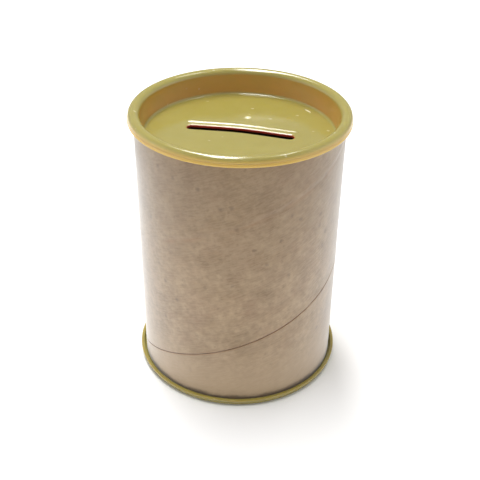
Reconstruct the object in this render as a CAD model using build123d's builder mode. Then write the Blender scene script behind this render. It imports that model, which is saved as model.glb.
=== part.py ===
from build123d import *
import os
from math import ceil, hypot, pi

# Round money box: a spiral-wound cardboard tube closed by two plastic plug caps.
# Millimetres. The origin is at the centre of the circle the box stands on, +Z is up,
# and the coin slot runs along X.

# Cardboard tube, wound from three kraft strips glued one over the other.
tube_radius = 36.0
tube_length = 98.0
outer_ply_thickness = 0.4
middle_ply_thickness = 0.4
inner_ply_thickness = 0.4

# Each strip climbs the same height in a turn, and its edges butt with a small gap.
strip_advance = 90.0
strip_gap = 0.3

# Height of each strip's butt joint above the foot of the tube, on the +X side.
outer_joint_height = 44.5
middle_joint_height = 93.5
inner_joint_height = 70.0

# Rim of a cap: a channel that sits over the end of the tube.
rim_web = 1.1
lip_gap = 0.8
lip_wall = 1.0
lip_bead = 0.2
lip_bead_height = 0.5
crest_outer_round = 1.5
crest_inner_round = 1.8
top_rim_height = 3.0
bottom_rim_height = 2.6

# Plug of a cap: a tapering wall inside the tube, closed by a flat panel.
plug_wall = 0.85
plug_taper = 0.7
recess_depth = 9.1
panel_thickness = 1.1
panel_inner_round = 1.1
panel_outer_round = 1.4

# Coin slot, with a low straight rib behind it, and the moulding mark.
slot_length = 37.5
slot_width = 3.4
slot_edge_round = 0.35
rib_gap = 1.85
rib_overhang = 0.65
rib_height = 0.3
rib_front_slope = 0.55
rib_top = 0.2
rib_back_slope = 0.4
gate_radius = 1.1
gate_height = 0.3
gate_round = 0.25
gate_x = 0.4
gate_y = 11.6

# Clearances between pieces that come apart.
plug_clearance = 0.1
seat_clearance = 0.05

# Places that follow from the sizes above.
tube_bore = tube_radius - outer_ply_thickness - middle_ply_thickness - inner_ply_thickness
tube_foot = rim_web + seat_clearance
box_height = tube_foot + tube_length + seat_clearance + rim_web
lip_inside = tube_radius + lip_gap
lip_outside = lip_inside + lip_wall
plug_outside = tube_bore - plug_clearance
plug_inside = plug_outside - plug_wall
top_panel = box_height - recess_depth
rib_length = slot_length + 2 * rib_overhang


def wound_ply(outside, thickness, joint_height):
    """One strip wound edge to edge along a helix, then trimmed to the tube's length."""
    middle = outside - thickness / 2
    turn_length = 2 * pi * middle
    gap_height = strip_gap * hypot(turn_length, strip_advance) / turn_length
    start = tube_foot + joint_height - ceil(joint_height / strip_advance) * strip_advance
    turns = ceil((tube_foot + tube_length - start) / strip_advance) + 1
    with BuildPart() as ply:
        with BuildLine() as path:
            Helix(strip_advance, turns * strip_advance, middle)
        with BuildSketch(Plane.XZ):
            with Locations((middle, start - strip_advance / 2)):
                Rectangle(thickness, strip_advance - gap_height)
        sweep(path=path.line, is_frenet=True)
        with BuildSketch(Plane.XY.offset(tube_foot)):
            Circle(outside + thickness)
        extrude(amount=tube_length, mode=Mode.INTERSECT)
    return ply.part


def cap_section(crest, inward, rim_height):
    """Half section of a plug cap, from its crest inward: -1 is down, +1 is up."""

    def corner(radius, depth):
        return (radius, crest + inward * depth)

    panel_inside = recess_depth + panel_thickness
    crest_outer = corner(lip_outside, 0)
    crest_inner = corner(plug_inside, 0)
    recess_corner = corner(plug_inside - plug_taper, recess_depth)
    plug_corner = corner(plug_outside - plug_taper, panel_inside)
    bead_top = rim_height - lip_bead_height
    with BuildSketch(Plane.XZ) as section:
        with BuildLine():
            Polyline(
                corner(0, recess_depth),
                recess_corner,
                crest_inner,
                crest_outer,
                corner(lip_outside, bead_top - lip_bead),
                corner(lip_outside + lip_bead, bead_top),
                corner(lip_outside + lip_bead, rim_height),
                corner(lip_inside, rim_height),
                corner(lip_inside, rim_web),
                corner(plug_outside, rim_web),
                plug_corner,
                corner(0, panel_inside),
                close=True,
            )
        make_face()
        for place, radius in (
            (crest_outer, crest_outer_round),
            (crest_inner, crest_inner_round),
            (recess_corner, panel_inner_round),
            (plug_corner, panel_outer_round),
        ):
            fillet(section.vertices().sort_by_distance(place)[0], radius)
    return section.sketch


# Cardboard tube: each strip is glued face to face on the one inside it.
middle_outside = tube_radius - outer_ply_thickness
inner_outside = middle_outside - middle_ply_thickness
outer_ply = wound_ply(tube_radius, outer_ply_thickness, outer_joint_height)
middle_ply = wound_ply(middle_outside, middle_ply_thickness, middle_joint_height)
inner_ply = wound_ply(inner_outside, inner_ply_thickness, inner_joint_height)

# Top cap: crest up, with the coin slot in its panel.
with BuildPart() as top_cap:
    add(cap_section(box_height, -1, top_rim_height))
    revolve(axis=Axis.Z)
    with BuildSketch(Plane.XY.offset(top_panel)):
        SlotOverall(slot_length, slot_width)
    extrude(amount=-panel_thickness, mode=Mode.SUBTRACT)
    fillet(top_cap.edges(Select.LAST).group_by(Axis.Z)[-1], slot_edge_round)
    rib_front = slot_width / 2 + rib_gap
    rib_crest = top_panel + rib_height
    with BuildSketch(Plane.YZ):
        with BuildLine():
            Polyline(
                (rib_front, top_panel),
                (rib_front + rib_front_slope, rib_crest),
                (rib_front + rib_front_slope + rib_top, rib_crest),
                (rib_front + rib_front_slope + rib_top + rib_back_slope, top_panel),
                close=True,
            )
        make_face()
    extrude(amount=rib_length / 2, both=True)
    with BuildSketch(Plane.XY.offset(top_panel)):
        with Locations((gate_x, gate_y)):
            Circle(gate_radius)
    extrude(amount=gate_height)
    fillet(top_cap.edges(Select.LAST).group_by(Axis.Z)[-1], gate_round)

# Bottom cap: the same plug upside down with a lower rim, which the box stands on.
with BuildPart() as bottom_cap:
    add(cap_section(0, 1, bottom_rim_height))
    revolve(axis=Axis.Z)
    with BuildSketch(Plane.XY.offset(recess_depth)):
        Circle(gate_radius)
    extrude(amount=-gate_height)
    fillet(bottom_cap.edges(Select.LAST).group_by(Axis.Z)[0], gate_round)

os.makedirs("parts", exist_ok=True)
pieces = {
    "outer_ply": outer_ply,
    "middle_ply": middle_ply,
    "inner_ply": inner_ply,
    "top_cap": top_cap.part,
    "bottom_cap": bottom_cap.part,
}
for name, piece in pieces.items():
    piece.label = name
    export_step(piece, f"parts/{name}.step")
    print(name, f"{piece.volume:.0f} mm3", piece.bounding_box().size)
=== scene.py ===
from math import atan2, ceil, cos, exp, hypot, pi, radians, sin, tan

import bmesh
import bpy
from mathutils import Matrix, Vector, noise


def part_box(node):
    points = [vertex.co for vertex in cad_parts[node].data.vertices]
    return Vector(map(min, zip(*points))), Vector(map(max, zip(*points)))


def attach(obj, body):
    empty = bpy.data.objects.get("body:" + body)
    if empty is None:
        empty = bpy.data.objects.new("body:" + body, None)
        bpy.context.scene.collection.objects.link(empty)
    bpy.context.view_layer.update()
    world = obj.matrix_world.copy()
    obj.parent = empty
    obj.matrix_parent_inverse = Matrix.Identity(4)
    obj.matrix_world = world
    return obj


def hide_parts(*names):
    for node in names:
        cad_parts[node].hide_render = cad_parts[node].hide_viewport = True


# Round money box: a spiral-wound kraft tube between two moulded plastic plug caps.
# Lengths below are in millimetres, as the workshop drawing gives them.

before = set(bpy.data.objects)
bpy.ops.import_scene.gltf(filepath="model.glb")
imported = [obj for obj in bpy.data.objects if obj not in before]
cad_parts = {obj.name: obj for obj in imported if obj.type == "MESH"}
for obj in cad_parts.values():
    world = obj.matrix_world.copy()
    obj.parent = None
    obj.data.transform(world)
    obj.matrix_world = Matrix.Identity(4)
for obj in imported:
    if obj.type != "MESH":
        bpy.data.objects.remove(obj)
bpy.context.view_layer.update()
scene = bpy.context.scene
MM = 0.001

# Cardboard tube
PLY = 0.4
STRIP_CLIMB = 90.0  # height a strip climbs in one turn
STRIP_GAP = 0.3  # opening between a strip's edges where they butt
OUTER_JOINT = 44.5  # heights of the butt joints above the tube's foot, on the +X side
MIDDLE_JOINT = 93.5
INNER_JOINT = 70.0

# Plug caps
RECESS = 9.1
PANEL = 1.1
RIM_WEB = 1.1  # thickness of the channel's floor, which sits on the tube's end
TOP_RIM, TOP_CREST = 3.0, (2.1, 1.75)  # rim height, and the crest's inner and outer rounding
BOTTOM_RIM, BOTTOM_CREST = 2.6, (1.8, 1.5)
SLOT_LENGTH, SLOT_WIDTH = 37.5, 3.4
SLOT_BEVEL = (0.45, 0.27)  # how far the softened edge of the slot reaches out and down
PANEL_BOW = 0.75  # how far the panel is bowed up in the middle of the slot
BOW_REACH = (14.0, 12.0)  # how far the bow reaches along the slot and across it
RIB_LENGTH = 38.8
RIB_SECTION = ((3.55, 0.0), (4.1, 0.3), (4.3, 0.3), (4.7, 0.0))  # behind the slot: back, up
SUNK = 0.3  # how deep the raised marks start below the panel's face
GATE_PLACE, GATE_RADIUS, GATE_HEIGHT = (0.4, 11.6), 1.15, 0.36
MARK_RADIUS, MARK_START, MARK_SWEEP = 30.3, 45.2, 6.6  # witness mark: millimetres, degrees
RING_POINTS = 256  # points round each ring of a cap


TUBE_LOW, TUBE_HIGH = (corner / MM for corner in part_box("outer_ply"))
FOOT, HEAD, TUBE_RADIUS = TUBE_LOW.z, TUBE_HIGH.z, TUBE_HIGH.x
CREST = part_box("top_cap")[1].z / MM
BORE = TUBE_RADIUS - 3 * PLY


# ---------------------------------------------------------------- meshes


def finish_piece(name, bm, body, nodes, material, masks=None, sharp=32):
    """Turn built faces into a smooth-shaded piece that stands for its CAD node."""
    bmesh.ops.recalc_face_normals(bm, faces=bm.faces)
    mesh = bpy.data.meshes.new(name)
    bm.to_mesh(mesh)
    bm.free()
    mesh.materials.append(material)
    mesh.polygons.foreach_set("use_smooth", [True] * len(mesh.polygons))
    mesh.set_sharp_from_angle(angle=radians(sharp))
    piece = bpy.data.objects.new(name, mesh)
    scene.collection.objects.link(piece)
    for mask, value_at in (masks or {}).items():
        made = mesh.attributes.new(mask, "FLOAT", "POINT")
        made.data.foreach_set("value", [value_at(v.co / MM) for v in mesh.vertices])
    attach(piece, body)
    if nodes:
        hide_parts(*nodes)
    return piece


def face_of(bm, corners):
    """A face through the corners, leaving out repeated ones at a strip's points."""
    kept = []
    for vert in corners:
        if vert not in kept:
            kept.append(vert)
    if len(kept) >= 3:
        bm.faces.new(kept)


def wound_strip(bm, outside, joint, step, outer_rows, inner_rows, outer_relief, inner_relief):
    """One kraft strip wound edge to edge, cut off at the tube's two ends."""
    inside = outside - PLY
    middle = outside - PLY / 2
    turn = 2 * pi * middle
    gap = STRIP_GAP * hypot(turn, STRIP_CLIMB) / turn
    width = STRIP_CLIMB - gap
    pitch = STRIP_CLIMB / 360

    def lower_edge(angle):
        return FOOT + joint - STRIP_CLIMB + gap / 2 + pitch * angle

    tips = (
        (gap / 2 - joint) / pitch,
        (STRIP_CLIMB - joint - gap / 2) / pitch,
        (HEAD - FOOT - joint + gap / 2) / pitch,
        (HEAD - FOOT - joint + STRIP_CLIMB - gap / 2) / pitch,
    )
    first, last = tips[0], tips[-1]
    count = ceil((last - first) / step)
    angles = [first + (last - first) * i / count for i in range(count + 1)]
    angles = [a for a in angles if all(abs(a - t) > step / 4 for t in tips)]
    angles = sorted(angles + list(tips))

    winding = bm.loops.layers.uv.new("winding")
    glue_and_shade = bm.verts.layers.float.new("glue_and_shade")
    lean = atan2(STRIP_CLIMB, turn)
    place = {}

    def column(angle, radius, rows, relief):
        made, before = [], None
        turned = radians(angle)
        low = lower_edge(angle)
        for across in rows:
            height = min(max(low + across * width, FOOT), HEAD)
            if before is not None and abs(height - before) < 1e-6:
                made.append(made[-1])
                continue
            before = height
            edge = min(across, 1 - across) * width
            reach = radius + relief(turned, height, edge)
            vert = bm.verts.new(
                (reach * cos(turned) * MM, reach * sin(turned) * MM, height * MM)
            )
            vert[glue_and_shade] = glue_and_crease_shade(turned, height, edge)
            along = turned * middle
            place[vert] = (
                (along * cos(lean) + height * sin(lean)) * MM,
                (height * cos(lean) - along * sin(lean)) * MM,
            )
            made.append(vert)
        return made

    outer = [column(a, outside, outer_rows, outer_relief) for a in angles]
    inner = [column(a, inside, inner_rows, inner_relief) for a in angles]
    for side in (outer, inner):
        for here, there in zip(side, side[1:]):
            for k in range(len(here) - 1):
                face_of(bm, (here[k], there[k], there[k + 1], here[k + 1]))
    for k in (0, -1):
        for i in range(len(angles) - 1):
            face_of(bm, (outer[i][k], outer[i + 1][k], inner[i + 1][k], inner[i][k]))
    for face in bm.faces:
        for loop in face.loops:
            loop[winding].uv = place[loop.vert]


def joint_distance(turned, height, joint):
    """Height above the nearest line of a strip's butt joint."""
    above = height - FOOT - joint - STRIP_CLIMB * turned / (2 * pi)
    return above - STRIP_CLIMB * round(above / STRIP_CLIMB)


def wrapper_relief(turned, height, edge):
    """Outer strip: slight waves, a crease over the joint below, softened edges."""
    spot = Vector((cos(turned) * 2.2, sin(turned) * 2.2, height / 16))
    waves = 0.045 * noise.noise(spot) + 0.02 * noise.noise(spot * 3.1)
    from_joint = joint_distance(turned, height, MIDDLE_JOINT)
    uneven = 0.7 + 0.6 * noise.noise(Vector((turned * 2.5, height / 30, 4.0)))
    crease = 0.075 * uneven * (
        exp(-((from_joint - 1.4) / 1.1) ** 2) - exp(-((from_joint + 0.5) / 0.8) ** 2)
    )
    lifted = 0.05 * exp(-((edge - 0.5) / 0.9) ** 2)
    rolled = -0.05 * exp(-edge / 0.06)
    return waves + crease + lifted + rolled


def glue_and_crease_shade(turned, height, edge):
    """Brown glue along a strip's edges, and painted shade in the creases over the joint of the
    strip below.
    """
    glue = exp(-edge / 0.35) * (0.75 + 0.25 * noise.noise(Vector((turned * 9, height / 7, 2.0))))
    from_joint = joint_distance(turned, height, MIDDLE_JOINT)
    broken = noise.noise(Vector((turned * 6.0, height / 9, 7.0))) + 0.15
    crease = max(0.0, broken) * exp(-((from_joint + 0.6) / 0.9) ** 2)
    return min(1.0, glue + 0.9 * crease)


def lining_relief(turned, height, edge):
    """Inner strip: slight waves, and edges that stand up a little where they butt."""
    spot = Vector((cos(turned) * 2.0, sin(turned) * 2.0, height / 20 + 9))
    return 0.04 * noise.noise(spot) + 0.05 * exp(-edge / 0.1)


def level(turned, height, edge):
    """A face with no relief of its own, glued to the strip next to it."""
    return 0.0


def spread_rows(count, fine_at=(), edges=(0.0, 0.12, 0.3, 0.8)):
    """Row positions across a strip, closer together at its edges and at given places."""
    rows = {i / count for i in range(1, count)}
    for place in fine_at:
        rows |= {place + 0.65 * k / STRIP_CLIMB for k in range(-6, 7)}
    for edge in edges:
        rows |= {edge / STRIP_CLIMB, 1 - edge / STRIP_CLIMB}
    rows = sorted(rows)
    kept = [rows[0]]
    for row in rows[1:]:
        if row - kept[-1] > 0.08 / STRIP_CLIMB:
            kept.append(row)
    return kept


def rounded_path(corners, turn_step=7.5):
    """A path through corners (across, up, radius), each one rounded to its radius."""
    path = [Vector(corners[0][:2])]
    for before, corner, after in zip(corners, corners[1:], corners[2:]):
        point, radius = Vector(corner[:2]), corner[2]
        back = (Vector(before[:2]) - point).normalized()
        on = (Vector(after[:2]) - point).normalized()
        bend = back.angle(on)
        cut = radius / tan(bend / 2)
        centre = point + (back + on).normalized() * radius / sin(bend / 2)
        start, end = point + back * cut, point + on * cut
        support = min(0.14, 0.5 * radius)
        path.append(start + back * support)
        spoke, last = start - centre, end - centre
        swept = spoke.angle_signed(last)
        steps = max(3, ceil(abs(swept) / radians(turn_step)))
        for i in range(steps + 1):
            a = -swept * i / steps
            path.append(
                centre
                + Vector((spoke.x * cos(a) - spoke.y * sin(a), spoke.x * sin(a) + spoke.y * cos(a)))
            )
        path.append(end + on * support)
    path.append(Vector(corners[-1][:2]))
    kept = [path[0]]
    for point in path[1:]:
        if (point - kept[-1]).length > 0.004:
            kept.append(point)
    return kept


def round_ring(radius, up):
    """A ring of points round the box's axis."""
    step = 2 * pi / RING_POINTS
    return [
        Vector((radius * cos(i * step), radius * sin(i * step), up)) for i in range(RING_POINTS)
    ]


def mirrored(quarter, top, up):
    """A whole ring from the points of its first quarter; top is where it meets the Y axis."""
    back = [(0.0, top)] + quarter[:0:-1]
    ring = quarter + [(-x, y) for x, y in back]
    ring += [(-x, -y) for x, y in quarter] + [(x, -y) for x, y in back]
    return [Vector((x, y, up)) for x, y in ring]


def slot_ring(reach, up):
    """A ring the shape of the coin slot, grown outwards by reach."""
    radius = SLOT_WIDTH / 2 + reach
    half = (SLOT_LENGTH - SLOT_WIDTH) / 2
    share = RING_POINTS // 8
    quarter = [
        (half + radius * cos(pi / 2 * i / share), radius * sin(pi / 2 * i / share))
        for i in range(share)
    ] + [(half * (1 - i / share), radius) for i in range(share)]
    return mirrored(quarter, radius, up)


def between(ring, other, share):
    """The ring a share of the way from one ring to another."""
    return [a.lerp(b, share) for a, b in zip(ring, other)]


def skin(bm, rings, closed=False):
    """Faces from ring to ring; closed also joins the last ring to the first."""
    made = [[bm.verts.new(point * MM) for point in ring] for ring in rings]
    pairs = list(zip(made, made[1:]))
    if closed:
        pairs.append((made[-1], made[0]))
    for here, there in pairs:
        for k in range(RING_POINTS):
            n = (k + 1) % RING_POINTS
            bm.faces.new((here[k], here[n], there[n], there[k]))
    return made


def rib_outline(low):
    """Section of the straight rib, softened at its crest and sunk a little into the panel."""
    (front, _), (near, crest), (far, _), (back, _) = RIB_SECTION
    crest -= low
    return (
        (front, -SUNK),
        (front, 0.0),
        (near - 0.1, crest - 0.05),
        (near, crest - 0.01),
        (near + 0.08, crest),
        (far - 0.06, crest),
        (far + 0.04, crest - 0.03),
        (back, 0.0),
        (back, -SUNK),
    )


def gate_rings():
    """The low round dome where the plastic was let in."""
    levels = [(GATE_RADIUS, -SUNK)] + [
        (GATE_RADIUS * share, GATE_HEIGHT * (1 - share * share))
        for share in (1.0, 0.85, 0.65, 0.4, 0.15)
    ]
    points = 32
    return [
        [
            (
                GATE_PLACE[0] + radius * cos(2 * pi * i / points),
                GATE_PLACE[1] + radius * sin(2 * pi * i / points),
                up,
            )
            for i in range(points)
        ]
        for radius, up in levels
    ]


def witness_sections():
    """The short curved mark near the rim, thinner at its ends."""
    half_width, height, lowered, steps = 0.42, 0.26, 0.04, 14
    outline = ((-1, -1), (-1, 0), (-0.6, 0.75), (0, 1), (0.6, 0.75), (1, 0), (1, -1))
    sections = []
    for i in range(steps + 1):
        share = i / steps
        angle = radians(MARK_START + MARK_SWEEP * share)
        swell = 0.25 + 0.75 * sin(pi * share) ** 0.6
        reach = [MARK_RADIUS + half_width * swell * out for out, _ in outline]
        rise = [height * swell * up - lowered for _, up in outline]
        sections.append([(r * cos(angle), r * sin(angle), up) for r, up in zip(reach, rise)])
    return sections


def rib_sections():
    """The rib from end to end, a trace lower at its two ends."""
    inner = [-0.985] + [share / 16 - 1 for share in range(1, 32)] + [0.985]
    return [
        [(end * RIB_LENGTH / 2, back, up) for back, up in rib_outline(low)]
        for end, low in [(-1, 0.04)] + [(place, 0.0) for place in inner] + [(1, 0.04)]
    ]


def moulding_marks(panel_top):
    """The rib behind the slot, the low round gate mark, and the short curved witness mark."""
    bm = bmesh.new()
    for sections in (gate_rings(), witness_sections(), rib_sections()):
        made = [
            [bm.verts.new((x * MM, y * MM, (panel_top + up) * MM)) for x, y, up in section]
            for section in sections
        ]
        for here, there in zip(made, made[1:]):
            for k in range(len(here)):
                n = (k + 1) % len(here)
                bm.faces.new((here[k], here[n], there[n], there[k]))
        bm.faces.new(made[0])
        bm.faces.new(made[-1])
    bmesh.ops.recalc_face_normals(bm, faces=bm.faces)
    return bm


def joined(bm, other):
    """One closed skin from two overlapping ones."""
    pair = []
    for built in (bm, other):
        mesh = bpy.data.meshes.new("blank")
        built.to_mesh(mesh)
        built.free()
        made = bpy.data.objects.new("blank", mesh)
        scene.collection.objects.link(made)
        pair.append(made)
    union = pair[0].modifiers.new("join", "BOOLEAN")
    union.operation, union.solver, union.object = "UNION", "EXACT", pair[1]
    bpy.context.view_layer.update()
    result = bmesh.new()
    result.from_object(pair[0], bpy.context.evaluated_depsgraph_get())
    for made in pair:
        bpy.data.objects.remove(made)
    return result


def cap_corners(rim_height, crest_inner, crest_outer):
    """Corners of a plug cap's section: distance out, depth below the crest, rounding."""
    clearance, wall = 0.1, 0.85
    plug_out = BORE - clearance
    plug_in = plug_out - wall
    lip_in = TUBE_RADIUS + 0.8
    lip_out = lip_in + 1.0
    return (
        (plug_in - 3.0, RECESS, 0),
        (plug_in - 0.7, RECESS, 1.1),
        (plug_in, 0.0, crest_inner),
        (lip_out, 0.0, crest_outer),
        (lip_out, rim_height - 1.0, 0.8),
        (lip_out + 0.2, rim_height - 0.45, 0.5),
        (lip_out + 0.2, rim_height, 0.15),
        (lip_in, rim_height, 0.12),
        (lip_in, RIM_WEB, 0.25),
        (plug_out, RIM_WEB, 0.25),
        (plug_out - 0.7, RECESS + PANEL, 1.4),
        (plug_out - 3.9, RECESS + PANEL, 0),
    )


def ramp(value, low, high):
    """From 0 at low to 1 at high, with soft ends."""
    share = min(max((value - low) / (high - low), 0.0), 1.0)
    return share * share * (3 - 2 * share)


def board_behind(out, depth):
    """Where the plug's wall lies against the brown board, which darkens it."""
    wall = ramp(out, BORE - 2.1, BORE - 1.75) * ramp(-out, -BORE, 0.3 - BORE)
    return wall * ramp(depth, 0.9, 2.6) * ramp(-depth, 0.2 - RECESS, 1.3 - RECESS)


def skirt_glow(out, depth, rim_height):
    """The skirt, where a brighter amber paint stands for light glowing through the thin plastic."""
    return ramp(out, TUBE_RADIUS + 0.9, TUBE_RADIUS + 1.7) * ramp(depth, 0.4, rim_height * 0.6)


def glint_marks(at, panel_top):
    """Painted highlight on the gate mark and the witness mark, as pale colour where glints fall."""
    raised = ramp(at.z - panel_top, 0.02, 0.12)
    on_gate = ramp(-hypot(at.x - GATE_PLACE[0], at.y - GATE_PLACE[1]), -1.3, -0.9)
    on_mark = ramp(-abs(at.xy.length - MARK_RADIUS), -0.6, -0.3) * ramp(at.x, 15.0, 16.0)
    return raised * max(on_gate, on_mark)


def panel_bow(across, back):
    """How far the panel stands above flat at a place on it."""
    return PANEL_BOW * exp(-((across / BOW_REACH[0]) ** 2) - (back / BOW_REACH[1]) ** 2)


def slot_shade(at, panel_top):
    """The slot's own walls, painted maroon as shade, where no light comes from behind."""
    half = (SLOT_LENGTH - SLOT_WIDTH) / 2
    outside = hypot(max(abs(at.x) - half, 0.0), at.y) - SLOT_WIDTH / 2
    below = panel_top + panel_bow(at.x, 0.0) - at.z
    return ramp(-outside, -0.4, -0.1) * ramp(below, 0.1, 0.35)


def cap_section(crest, inward, rim_height, crest_rounds):
    """Points of a cap's section, with depth turned into height."""
    corners = [
        (out, crest + inward * depth, rounding)
        for out, depth, rounding in cap_corners(rim_height, *crest_rounds)
    ]
    return rounded_path(corners)


# ---------------------------------------------------------------- finishes


def paint(red, green, blue):
    """A paint-chart colour (0 to 255) as the linear colour that the shaders mix."""

    def linear(value):
        value /= 255
        return value / 12.92 if value <= 0.04045 else ((value + 0.055) / 1.055) ** 2.4

    return (linear(red), linear(green), linear(blue), 1.0)


def node(tree, kind, ins=None, **settings):
    """Add a node; each entry of ins is a value for that input or a socket to link."""
    made = tree.nodes.new(kind)
    for key, value in settings.items():
        setattr(made, key, value)
    for key, value in (ins or {}).items():
        socket = made.inputs[key]
        if isinstance(value, bpy.types.NodeSocket):
            tree.links.new(value, socket)
        else:
            socket.default_value = value
    return made


def effect(name, takes, gives):
    """An empty shared effect with its sockets; returns its tree, its inputs and its output."""
    tree = bpy.data.node_groups.new(name, "ShaderNodeTree")
    for label, kind, value in takes:
        socket = tree.interface.new_socket(label, in_out="INPUT", socket_type=kind)
        if value is not None:
            socket.default_value = value
    for label, kind in gives:
        tree.interface.new_socket(label, in_out="OUTPUT", socket_type=kind)
    return tree, tree.nodes.new("NodeGroupInput").outputs, tree.nodes.new("NodeGroupOutput").inputs


FLOAT, COLOUR, PLACE = "NodeSocketFloat", "NodeSocketColor", "NodeSocketVector"


def maths(tree, operation, *values, clamp=False):
    made = node(tree, "ShaderNodeMath", dict(enumerate(values)), operation=operation)
    made.use_clamp = clamp
    return made.outputs[0]


def mix(tree, share, first, second):
    ins = {0: share, 6: first, 7: second}  # the colour sockets of a Mix node
    return node(tree, "ShaderNodeMix", ins, data_type="RGBA").outputs[2]


def spread(tree, value, low, high, to_low=0.0, to_high=1.0):
    """Map low..high to to_low..to_high with soft ends."""
    return node(
        tree,
        "ShaderNodeMapRange",
        {0: value, 1: low, 2: high, 3: to_low, 4: to_high},
        interpolation_type="SMOOTHSTEP",
    ).outputs[0]


def make_fibres():
    """Paper fibres lying mostly along the strip: a light and dark value, and a height."""
    tree, takes, gives = effect(
        "Paper fibres",
        (("Place", PLACE, None), ("Fineness", FLOAT, 1.0)),
        (("Value", FLOAT), ("Height", FLOAT)),
    )
    scaled = node(
        tree,
        "ShaderNodeVectorMath",
        {0: takes["Place"], "Scale": takes["Fineness"]},
        operation="SCALE",
    ).outputs[0]
    layers = []
    for stretch, size, detail, turned in (
        ((240, 1500, 1), 1.0, 3.0, 0.0),
        ((420, 1900, 1), 1.0, 2.0, 0.5),
        ((420, 1900, 1), 1.0, 2.0, -0.6),
    ):
        laid = node(
            tree,
            "ShaderNodeMapping",
            {"Vector": scaled, "Rotation": (0, 0, turned), "Scale": stretch},
        ).outputs[0]
        layers.append(
            node(
                tree,
                "ShaderNodeTexNoise",
                {"Vector": laid, "Scale": size, "Detail": detail, "Roughness": 0.6},
                noise_dimensions="2D",
            ).outputs[0]
        )
    crossed = maths(tree, "MULTIPLY", maths(tree, "ADD", layers[1], layers[2]), 0.5)
    lying = maths(tree, "MULTIPLY", layers[0], 0.55)
    value = maths(tree, "ADD", lying, maths(tree, "MULTIPLY", crossed, 0.45))
    tree.links.new(value, gives["Value"])
    tree.links.new(spread(tree, value, 0.3, 0.7), gives["Height"])
    return tree


def make_blotches():
    """Soft uneven patches, at a chosen size, as a value round one half."""
    tree, takes, gives = effect(
        "Soft blotches",
        (
            ("Place", PLACE, None),
            ("Size", FLOAT, 40.0),
            ("Detail", FLOAT, 3.0),
            ("Shift", FLOAT, 0.0),
        ),
        (("Value", FLOAT),),
    )
    made = node(
        tree,
        "ShaderNodeTexNoise",
        {
            "Vector": takes["Place"],
            "Scale": takes["Size"],
            "Detail": takes["Detail"],
            "Roughness": 0.55,
            "W": takes["Shift"],
        },
        noise_dimensions="4D",
    ).outputs[0]
    tree.links.new(spread(tree, made, 0.3, 0.7), gives["Value"])
    return tree


def make_flecks():
    """Scattered specks in the pulp, as a mask."""
    tree, takes, gives = effect(
        "Pulp flecks",
        (
            ("Place", PLACE, None),
            ("Size", FLOAT, 300.0),
            ("Reach", FLOAT, 0.2),
            ("Share", FLOAT, 0.3),
        ),
        (("Mask", FLOAT),),
    )
    wobble = node(
        tree, "ShaderNodeTexNoise", {"Vector": takes["Place"], "Scale": 900.0, "Detail": 2.0}
    ).outputs["Color"]
    moved = node(
        tree, "ShaderNodeVectorMath", {0: wobble, "Scale": 0.0012}, operation="SCALE"
    ).outputs[0]
    place = node(
        tree, "ShaderNodeVectorMath", {0: takes["Place"], 1: moved}, operation="ADD"
    ).outputs[0]
    cells = node(tree, "ShaderNodeTexVoronoi", {"Vector": place, "Scale": takes["Size"]})
    chosen = maths(
        tree,
        "LESS_THAN",
        node(tree, "ShaderNodeSeparateColor", {0: cells.outputs["Color"]}).outputs[0],
        takes["Share"],
    )
    dot = maths(tree, "SUBTRACT", takes["Reach"], cells.outputs["Distance"])
    soft = maths(tree, "DIVIDE", dot, takes["Reach"], clamp=True)
    tree.links.new(maths(tree, "MULTIPLY", soft, chosen, clamp=True), gives["Mask"])
    return tree


def shared(tree, group, ins):
    """Place a shared effect in a material; returns its outputs."""
    return node(tree, "ShaderNodeGroup", ins, node_tree=group).outputs


def blotched(tree, place, size, detail, shift):
    """Soft blotches of one size."""
    ins = {"Place": place, "Size": size, "Detail": detail, "Shift": shift}
    return shared(tree, blotches, ins)["Value"]


def flecked(tree, place, size, reach, share):
    """A mask of scattered specks of one size."""
    ins = {"Place": place, "Size": size, "Reach": reach, "Share": share}
    return shared(tree, flecks, ins)["Mask"]


def mask_of(tree, name):
    """A mask that the piece's mesh carries at its points."""
    return node(tree, "ShaderNodeAttribute", attribute_name=name).outputs["Fac"]


def new_finish(name):
    """A new material with its tree and its surface shader."""
    material = bpy.data.materials.new(name)
    material.use_nodes = True
    tree = material.node_tree
    return material, tree, tree.nodes["Principled BSDF"]


# Dark specks in the pulp, a brown for painted shade at the tube's foot and under the top cap, and a
# brown for glue with painted shade in creases
SHIVE, SHADE_BROWN, GLUE_AND_SHADE = paint(84, 58, 34), paint(108, 82, 46), paint(140, 98, 54)


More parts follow.
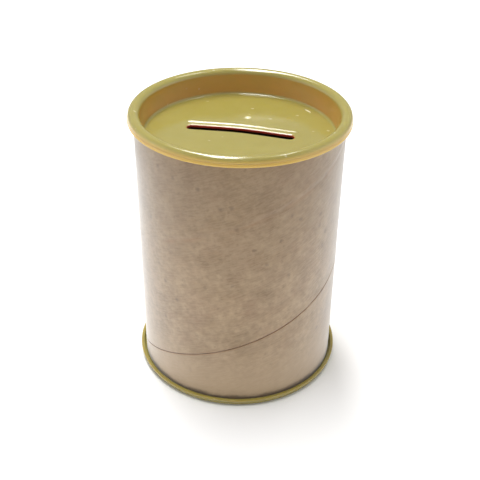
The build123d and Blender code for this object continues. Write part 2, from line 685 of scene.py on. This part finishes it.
def kraft(name, plain, dark, light, pink, painted_shading=0.0):
    """Kraft paper: fibres, specks and patches over a plain colour, with painted light low on the
    tube and painted shade at its foot and under the top cap where asked.
    """
    material, tree, surface = new_finish(name)
    winding = node(tree, "ShaderNodeUVMap", uv_map="winding").outputs[0]
    inside = node(tree, "ShaderNodeTexCoord").outputs["Object"]
    threads = shared(tree, fibres, {"Place": winding, "Fineness": 1.0})
    clouds = blotched(tree, inside, 42.0, 4.0, 1.7)
    patches = blotched(tree, inside, 160.0, 5.0, 3.1)
    warm = blotched(tree, inside, 75.0, 5.0, 6.3)
    mottle = blotched(tree, inside, 520.0, 3.0, 8.1)
    specks = flecked(tree, inside, 190.0, 0.21, 0.5)
    shives = flecked(tree, inside, 420.0, 0.3, 0.3)
    colour = mix(tree, maths(tree, "MULTIPLY", clouds, 0.8), plain, dark)
    colour = mix(tree, maths(tree, "MULTIPLY", warm, 0.45), colour, pink)
    colour = mix(tree, maths(tree, "MULTIPLY", patches, 0.75), colour, light)
    colour = mix(tree, maths(tree, "MULTIPLY", mottle, 0.55), colour, dark)
    thread_mask = spread(tree, threads["Value"], 0.38, 0.64)
    colour = mix(tree, maths(tree, "MULTIPLY", thread_mask, 0.3), colour, light)
    colour = mix(tree, maths(tree, "MULTIPLY", shives, 0.55), colour, dark)
    colour = mix(tree, maths(tree, "MULTIPLY", specks, 0.75), colour, SHIVE)
    if painted_shading:
        height = node(tree, "ShaderNodeSeparateXYZ", {0: inside}).outputs[2]
        ragged = maths(tree, "MULTIPLY", maths(tree, "SUBTRACT", patches, 0.5), 0.0016)
        height = maths(tree, "ADD", height, ragged)
        # Painted light: the lower part of the tube is lightened as if lit from the floor.
        pale = spread(tree, height, (FOOT + 4.0) * MM, (FOOT + 30.0) * MM, 0.75, 0.0)
        colour = mix(tree, pale, colour, light)
        # Painted shade: a brown band at the foot, and brown darkening towards the top cap where its
        # overhang shades the tube.
        foot = spread(tree, height, (FOOT + 1.2) * MM, (FOOT + 3.0) * MM, 1.0, 0.0)
        head = spread(tree, height, (HEAD - 60.0) * MM, (HEAD - 8.0) * MM, 0.0, 0.5)
        painted_shade = maths(tree, "MULTIPLY", maths(tree, "ADD", foot, head, clamp=True), painted_shading)
        colour = mix(tree, painted_shade, colour, SHADE_BROWN)
    # Brown glue at the strips' edges, and painted shade in the creases over the middle strip's
    # joint.
    colour = mix(tree, maths(tree, "MULTIPLY", mask_of(tree, "glue_and_shade"), 0.8), colour, GLUE_AND_SHADE)
    tree.links.new(colour, surface.inputs["Base Color"])
    rough = spread(tree, threads["Value"], 0.3, 0.7, 0.66, 0.54)
    tree.links.new(rough, surface.inputs["Roughness"])
    surface.inputs["Specular IOR Level"].default_value = 0.55
    surface.inputs["Sheen Weight"].default_value = 1.0
    surface.inputs["Sheen Roughness"].default_value = 0.5
    relief = maths(
        tree,
        "ADD",
        maths(tree, "MULTIPLY", threads["Height"], 0.7),
        maths(tree, "MULTIPLY", patches, 0.9),
    )
    bump = node(
        tree, "ShaderNodeBump", {"Strength": 0.55, "Distance": 0.00006, "Height": relief}
    ).outputs[0]
    tree.links.new(bump, surface.inputs["Normal"])
    return material


def moulded_plastic(name):
    """Glossy olive-gold plastic, a little see-through, with a faint moulding ripple."""
    material, tree, surface = new_finish(name)
    inside = node(tree, "ShaderNodeTexCoord").outputs["Object"]
    swirl = blotched(tree, inside, 34.0, 3.0, 0.4)
    cloud = blotched(tree, inside, 130.0, 4.0, 2.2)
    fine = blotched(tree, inside, 900.0, 2.0, 5.2)
    olive, shaded, pale = paint(146, 136, 68), paint(139, 127, 59), paint(154, 145, 80)
    brown, glow_amber, scuff_and_glint_white, shade_maroon = (
        paint(192, 142, 70), paint(216, 177, 84), paint(224, 219, 186), paint(176, 74, 58)
    )
    colour = mix(tree, maths(tree, "MULTIPLY", swirl, 0.5), olive, shaded)
    colour = mix(tree, maths(tree, "MULTIPLY", cloud, 0.25), colour, pale)
    uneven = spread(tree, cloud, 0.0, 1.0, 0.85, 1.0)
    colour = mix(tree, maths(tree, "MULTIPLY", mask_of(tree, "backed"), uneven), colour, brown)
    # Painted glow: the skirt is lightened to amber as if lit through.
    colour = mix(tree, mask_of(tree, "painted_glow"), colour, glow_amber)
    scuffs = maths(tree, "MULTIPLY", flecked(tree, inside, 240.0, 0.17, 0.25), 0.5)
    painted_glint = maths(tree, "MULTIPLY", mask_of(tree, "painted_glint"), 0.75)
    # Pale scuffs, and painted highlights on the gate and witness marks.
    colour = mix(tree, maths(tree, "ADD", painted_glint, scuffs, clamp=True), colour, scuff_and_glint_white)
    # Painted shade: the slot's walls turn dark maroon.
    colour = mix(tree, mask_of(tree, "painted_slot_shade"), colour, shade_maroon)
    tree.links.new(colour, surface.inputs["Base Color"])
    tree.links.new(spread(tree, cloud, 0.2, 0.8, 0.13, 0.18), surface.inputs["Roughness"])
    surface.inputs["IOR"].default_value = 1.54
    surface.inputs["Specular IOR Level"].default_value = 0.68
    surface.inputs["Subsurface Weight"].default_value = 0.35
    surface.inputs["Subsurface Radius"].default_value = (1.0, 0.7, 0.2)
    surface.inputs["Subsurface Scale"].default_value = 0.0022
    ripple = maths(tree, "ADD", swirl, maths(tree, "MULTIPLY", fine, 0.02))
    bump = node(
        tree, "ShaderNodeBump", {"Strength": 0.35, "Distance": 0.00008, "Height": ripple}
    ).outputs[0]
    tree.links.new(bump, surface.inputs["Normal"])
    return material


def pale_floor(name):
    """The studio floor."""
    material, tree, surface = new_finish(name)
    inside = node(tree, "ShaderNodeTexCoord").outputs["Object"]
    cloud = blotched(tree, inside, 3.0, 3.0, 0.0)
    colour = mix(tree, cloud, paint(246, 246, 246), paint(250, 250, 249))
    tree.links.new(colour, surface.inputs["Base Color"])
    surface.inputs["Roughness"].default_value = 0.85
    return material


fibres, blotches, flecks = make_fibres(), make_blotches(), make_flecks()
wrapper_paper = kraft(
    "outer kraft",
    paint(147, 118, 76), paint(116, 90, 53), paint(178, 151, 115), paint(162, 126, 98),
    painted_shading=0.8,
)
core_paper = kraft(
    "core kraft",
    paint(190, 142, 90), paint(170, 122, 72), paint(200, 160, 112), paint(190, 146, 100),
)
lining_paper = kraft(
    "inner kraft",
    paint(150, 127, 98), paint(128, 104, 76), paint(168, 147, 120), paint(156, 130, 108),
)
plastic = moulded_plastic("cap plastic")


# ---------------------------------------------------------------- pieces

# Where the middle strip's joint runs across the outer strip, as a share of its width.
crease_place = ((MIDDLE_JOINT - OUTER_JOINT) % STRIP_CLIMB) / STRIP_CLIMB

bm = bmesh.new()
wound_strip(
    bm, TUBE_RADIUS, OUTER_JOINT, 1.5,
    spread_rows(44, fine_at=(crease_place,)), (0.0, 1.0), wrapper_relief, level,
)
finish_piece("outer_strip", bm, "tube", ("outer_ply",), wrapper_paper)

bm = bmesh.new()
wound_strip(
    bm, TUBE_RADIUS - PLY, MIDDLE_JOINT, 2.5, spread_rows(6, edges=(0.0,)), (0.0, 1.0), level, level
)
finish_piece("middle_strip", bm, "tube", ("middle_ply",), core_paper)

bm = bmesh.new()
wound_strip(
    bm, TUBE_RADIUS - 2 * PLY, INNER_JOINT, 2.5, (0.0, 1.0), spread_rows(24), level, lining_relief
)
finish_piece("inner_strip", bm, "tube", ("inner_ply",), lining_paper)

# Top cap: rings from the slot's underside up and out over the panel, the wall and the rim, and
# back in under the panel, joined with the raised marks and then bowed up a little.
panel_top = CREST - RECESS
panel_under = panel_top - PANEL
slot_section = rounded_path(
    (
        (2.2, panel_under, 0),
        (0.0, panel_under, 0.12),
        (0.0, panel_top - SLOT_BEVEL[1], 0.1),
        (SLOT_BEVEL[0], panel_top, 0.2),
        (1.2, panel_top, 0),
    )
)
rings = [slot_ring(p.x, p.y) for p in slot_section]
rim_section = cap_section(CREST, -1, TOP_RIM, TOP_CREST)
rim_rings = [round_ring(p.x, p.y) for p in rim_section]
rings += [between(rings[-1], rim_rings[0], step / 24) for step in range(1, 24)]
rings += rim_rings
rings += [between(rim_rings[-1], rings[0], step / 12) for step in range(1, 12)]
bm = bmesh.new()
skin(bm, rings, closed=True)
bmesh.ops.recalc_face_normals(bm, faces=bm.faces)
bm = joined(bm, moulding_marks(panel_top))
for vert in bm.verts:
    at = vert.co / MM
    if at.xy.length < BORE - 4 and at.z < CREST - 4:
        vert.co.z += panel_bow(at.x, at.y) * MM
finish_piece(
    "top_cap_moulding", bm, "top_cap", ("top_cap",), plastic,
    masks={
        "backed": lambda at: board_behind(at.xy.length, CREST - at.z),
        "painted_glow": lambda at: 0.8 * skirt_glow(at.xy.length, CREST - at.z, TOP_RIM),
        "painted_glint": lambda at: glint_marks(at, panel_top),
        "painted_slot_shade": lambda at: slot_shade(at, panel_top),
    },
)

# Bottom cap: the same section upside down, with a low gate mark in the middle.
rim_section = cap_section(0.0, 1, BOTTOM_RIM, BOTTOM_CREST)
gate_face, gate_edge, hub = RECESS - 0.2, 1.0, 0.05
gate = rounded_path(
    (
        (hub, gate_face, 0),
        (gate_edge, gate_face, 0.12),
        (gate_edge, RECESS, 0.05),
        (1.6, RECESS, 0),
    )
)
section = gate + rim_section + [Vector((r, RECESS + PANEL)) for r in (16.0, hub)]
bm = bmesh.new()
made = skin(bm, [round_ring(p.x, p.y) for p in section])
for ring in (made[0], made[-1]):
    bm.faces.new(ring)
finish_piece(
    "bottom_cap_moulding", bm, "bottom_cap", ("bottom_cap",), plastic,
    masks={
        "backed": lambda at: board_behind(at.xy.length, at.z),
        "painted_glow": lambda at: 0.15 * skirt_glow(at.xy.length, at.z, BOTTOM_RIM),
    },
)


# ---------------------------------------------------------------- studio

floor_mesh = bpy.data.meshes.new("floor")
reach = 3.0  # metres from the middle of the floor to its sides
floor_mesh.from_pydata(
    [(-reach, -reach, 0), (reach, -reach, 0), (reach, reach, 0), (-reach, reach, 0)],
    [],
    [(0, 1, 2, 3)],
)
floor_mesh.materials.append(pale_floor("pale floor"))
floor = bpy.data.objects.new("floor", floor_mesh)
scene.collection.objects.link(floor)

FRONT_WALL, BACK_WALL, SIDE_WALLS = 0.45, 0.5, 1.1  # how bright the studio's walls are
VIEW_TURN = radians(12.0)  # how far the camera stands round from the slot's square-on side


def from_camera_side(across, away, up):
    """A place given across, away from and above the box as the camera sees it, in mm."""
    x = across * cos(VIEW_TURN) - away * sin(VIEW_TURN)
    y = across * sin(VIEW_TURN) + away * cos(VIEW_TURN)
    return Vector((x, y, up)) * MM


def softbox(name, lean, distance, width, length, brightness):
    """A softbox over the cap, its length lying away from the camera; lean is its direction."""
    light = bpy.data.lights.new(name, "AREA")
    light.shape = "RECTANGLE"
    light.size, light.size_y = width, length
    light.energy = brightness * pi * width * length
    made = bpy.data.objects.new(name, light)
    out = from_camera_side(*lean).normalized()
    away = from_camera_side(0, 1, 0).normalized()
    along = (away - out * away.dot(out)).normalized()
    made.matrix_world = Matrix.Translation(Vector((0, 0, CREST * MM)) + out * distance) @ Matrix(
        (along.cross(out), along, out)
    ).transposed().to_4x4()
    scene.collection.objects.link(made)


softbox("key softbox", (-0.145, 0.23, 0.96), 0.95, 0.28, 0.92, 15.5)
softbox("small softbox", (0.30, 0.32, 0.90), 0.95, 0.12, 0.4, 8.0)

# Studio walls: bright at the two sides, grey at the front and the back.
world = bpy.data.worlds.new("studio")
world.use_nodes = True
tree = world.node_tree
towards = node(tree, "ShaderNodeTexCoord").outputs["Generated"]


def seen_along(*direction):
    """How far the light's direction agrees with one given as the camera sees it, -1 to 1."""
    axis = tuple(from_camera_side(*direction).normalized())
    return node(
        tree, "ShaderNodeVectorMath", {0: towards, 1: axis}, operation="DOT_PRODUCT"
    ).outputs["Value"]


ends = spread(tree, seen_along(0, 1, 0), -0.9, 0.5, FRONT_WALL, BACK_WALL)
sides = maths(tree, "POWER", maths(tree, "ABSOLUTE", seen_along(1, 0, 0)), 5.0)
walls = maths(tree, "ADD", ends, maths(tree, "MULTIPLY", sides, SIDE_WALLS))
tree.links.new(walls, tree.nodes["Background"].inputs["Strength"])
tree.nodes["Background"].inputs["Color"].default_value = (1, 1, 1, 1)
scene.world = world

scene.view_settings.view_transform = "Standard"
scene.view_settings.look = "None"

# Camera: stands off to the front, tipped down, with a trace of roll.
PITCH, YAW, ROLL = 0.574, 0.002, 0.0136
ahead = from_camera_side(sin(YAW) * cos(PITCH), cos(YAW) * cos(PITCH), -sin(PITCH)).normalized()
right = ahead.cross(Vector((0, 0, 1))).normalized()
above = right.cross(ahead)
turned_right = right * cos(ROLL) + above * sin(ROLL)
turned_above = above * cos(ROLL) - right * sin(ROLL)
lens = bpy.data.cameras.new("camera")
lens.sensor_width = 36.0
lens.lens = 61.52
lens.clip_start = 0.01
camera = bpy.data.objects.new("camera", lens)
camera.matrix_world = Matrix.Translation(from_camera_side(0, -255.0, 212.2)) @ Matrix(
    (turned_right, turned_above, -ahead)
).transposed().to_4x4()
scene.collection.objects.link(camera)
scene.camera = camera
